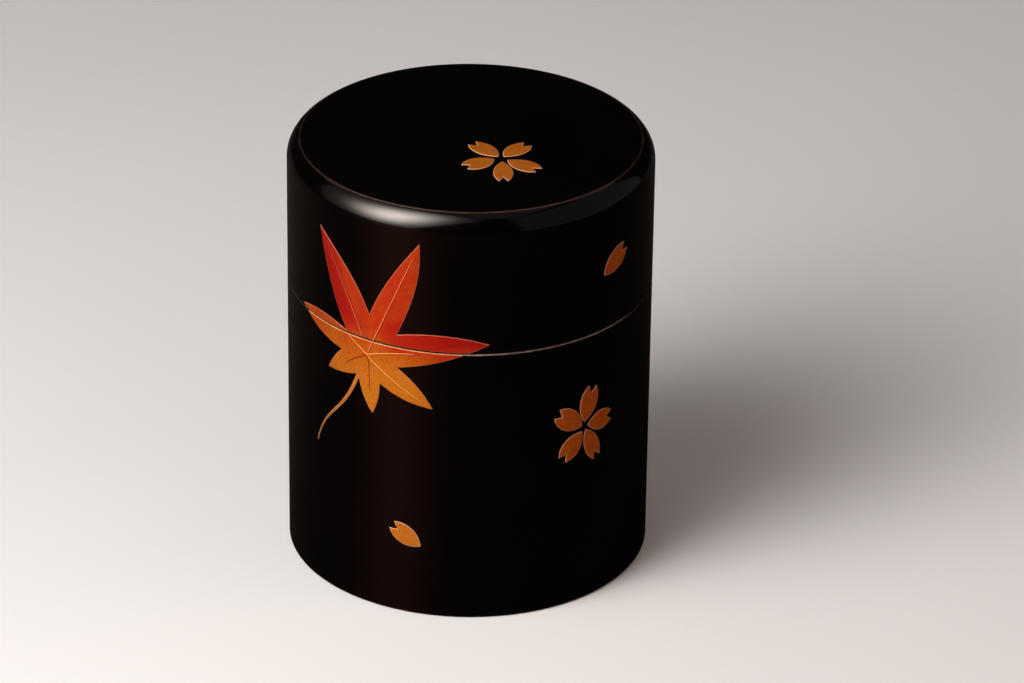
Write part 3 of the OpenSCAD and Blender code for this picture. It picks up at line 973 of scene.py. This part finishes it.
def floor_with_cove():
    """A round floor that curves up into a wall far from the caddy."""
    reach, cove, wall = 2.2, 0.9, 2.0
    sides, cove_steps = 96, 16
    flat = reach - cove
    profile = [(0, 0), (0.5, 0), (1.2, 0), (flat, 0)]
    profile += [(flat + cove * math.sin(a), cove - cove * math.cos(a))
                for a in (math.pi / 2 * k / cove_steps for k in range(1, cove_steps + 1))]
    profile.append((reach, wall))
    bm = bmesh.new()
    turns = [2 * math.pi * k / sides for k in range(sides)]
    rings = []
    for r, z in profile:
        rings.append([bm.verts.new((0, 0, z))] * sides if r == 0 else
                     [bm.verts.new((r * math.sin(a), -r * math.cos(a), z)) for a in turns])
    for a, b in zip(rings, rings[1:]):
        for k in range(sides):
            m = (k + 1) % sides
            bm.faces.new(list(dict.fromkeys((a[k], a[m], b[m], b[k]))))
    mesh_object("floor", bm, floor_finish())


# The place on the shoulder where the key light shows as a highlight
LIT_POINT = Vector((-0.6 * caddy_r, -0.75 * caddy_r, caddy_top - 3 * MM))


def hot_spot(f, distance_m, base, x, y, spread_x, spread_y, peak):
    """The strength of a card with a bright spot: a narrow bell and a wide one over the base,
    faded out towards the card's upper edge. Places and spreads are tangents."""
    narrow, wide, wide_peak, fade_from, fade_to = -0.5, -0.09, 2.2, 1.15, 0.75
    place = f.add("TexCoord").outputs["Object"]
    moved = f.add("VectorMath", {0: place, 1: (-x * distance_m, -y * distance_m, 0)},
                  operation="ADD").outputs[0]
    scaled = f.stretched(moved, (1 / spread_x / distance_m, 1 / spread_y / distance_m, 0))
    squared = f.add("VectorMath", {0: scaled, 1: scaled},
                    operation="DOT_PRODUCT").outputs["Value"]

    def bell(width, height):
        return f.maths("MULTIPLY", f.maths("EXPONENT", f.maths("MULTIPLY", squared, width)), height)

    up = f.add("SeparateXYZ", {0: place}).outputs[1]
    fade = f.ranged(up, fade_from * distance_m, fade_to * distance_m)
    bells = f.maths("ADD", bell(narrow, peak), bell(wide, base * wide_peak))
    return f.maths("MULTIPLY", f.maths("ADD", bells, base), fade)


def light_panel(name, towards, distance_m, corners, colour, base, hot=None, fill=False):
    """A glowing card that faces the caddy's shoulder. towards is the direction to it, corners
    are tangents seen from the caddy, and hot is (x, y, spread x, spread y, peak). A fill card
    lights the pieces without showing in the lacquer."""
    towards = Vector(towards).normalized()
    across = Vector((0, 0, 1)).cross(towards).normalized()
    matrix = Matrix((across, towards.cross(across), towards)).transposed().to_4x4()
    matrix.translation = LIT_POINT + towards * distance_m
    bm = bmesh.new()
    bm.faces.new([bm.verts.new((x * distance_m, y * distance_m, 0)) for x, y in reversed(corners)])
    mesh = bpy.data.meshes.new(name)
    bm.to_mesh(mesh)
    bm.free()
    glow = bpy.data.materials.new(name)
    glow.use_nodes = True
    glow.node_tree.nodes.clear()
    f = Nodes(glow.node_tree)
    strength = hot_spot(f, distance_m, base, *hot) if hot else base
    front = f.add("Emission", {"Color": (*colour, 1.0), "Strength": strength})
    black = f.add("Emission", {"Color": (0, 0, 0, 1), "Strength": 0.0})
    back = f.add("NewGeometry").outputs["Backfacing"]
    pick = f.add("MixShader", {0: back, 1: front.outputs[0], 2: black.outputs[0]})
    f.add("OutputMaterial", {"Surface": pick.outputs[0]})
    mesh.materials.append(glow)
    card = bpy.data.objects.new(name, mesh)
    card.matrix_world = matrix
    bpy.context.scene.collection.objects.link(card)
    card.visible_camera = False
    card.visible_shadow = False
    card.visible_glossy = not fill


def direction(azimuth, elevation):
    """Azimuth 0 is the front, -Y, and 90 the right, +X."""
    a, e = math.radians(azimuth), math.radians(elevation)
    return (math.sin(a) * math.cos(e), -math.cos(a) * math.cos(e), math.sin(e))


def oblong(half_wide, half_high):
    """Corners of an upright card, anticlockwise from the lower left."""
    return [(-half_wide, -half_high), (half_wide, -half_high),
            (half_wide, half_high), (-half_wide, half_high)]


WHITE = (1, 1, 1)
floor_with_cove()
light_panel("key_card", direction(-59.7, 33.4), 0.65,
            [(-0.97, -0.8), (0.6, -0.8), (1.0, 1.15), (-0.97, 1.15)],
            (1.0, 0.88, 0.79), 0.12, hot=(0.12, 0.06, 0.23, 0.36, 17.5))
light_panel("side_card", direction(77, 0), 0.65,
            [(-1.0, -0.14), (1.0, -0.14), (1.0, 1.6), (-1.0, 1.6)], (0.95, 0.97, 1.0), 0.11)
light_panel("top_card", (0.001, 0, 1), 1.1, oblong(0.5, 0.5), WHITE, 0.12)
light_panel("back_left_card", direction(-150, 58), 0.9, oblong(0.35, 0.32), WHITE, 0.3)
light_panel("back_right_card", direction(145, 58), 0.9, oblong(0.3, 0.32), WHITE, 0.3)
light_panel("right_fill", direction(62, 30), 0.7, oblong(0.5, 0.5), (1.0, 0.62, 0.42), 1.2,
            fill=True)

# A dim sky lights the pieces and the floor, and doesn't show in the lacquer
world = bpy.data.worlds.new("studio")
bpy.context.scene.world = world
world.use_nodes = True
world.node_tree.nodes["Background"].inputs["Color"].default_value = (0.9, 0.92, 1.0, 1.0)
world.node_tree.nodes["Background"].inputs["Strength"].default_value = 0.25
world.cycles_visibility.glossy = False

bpy.context.scene.view_settings.view_transform = "Standard"

# ---- camera -------------------------------------------------------------------------------

CAMERA_BACK, CAMERA_UP = 26.225, 15.007     # in radii of the caddy
PITCH, YAW, ROLL = (math.radians(a) for a in (27.795, 0.515, 0.8))
SENSOR_WIDTH, LENS = 36, 188.7              # millimetres

camera_data = bpy.data.cameras.new("camera")
camera_data.sensor_width = SENSOR_WIDTH
camera_data.lens = LENS
camera_data.clip_start, camera_data.clip_end = 0.05, 20
camera = bpy.data.objects.new("camera", camera_data)
bpy.context.scene.collection.objects.link(camera)
bpy.context.scene.camera = camera
level = math.cos(PITCH)
forward = Vector((math.sin(YAW) * level, math.cos(YAW) * level, -math.sin(PITCH)))
right = Vector((math.cos(YAW), -math.sin(YAW), 0))
upward = right.cross(forward)
tilted = right * math.cos(ROLL) + upward * math.sin(ROLL)
stood = upward * math.cos(ROLL) - right * math.sin(ROLL)
view_matrix = Matrix((tilted, stood, -forward)).transposed().to_4x4()
view_matrix.translation = Vector((0, -CAMERA_BACK * caddy_r, CAMERA_UP * caddy_r))
camera.matrix_world = view_matrix
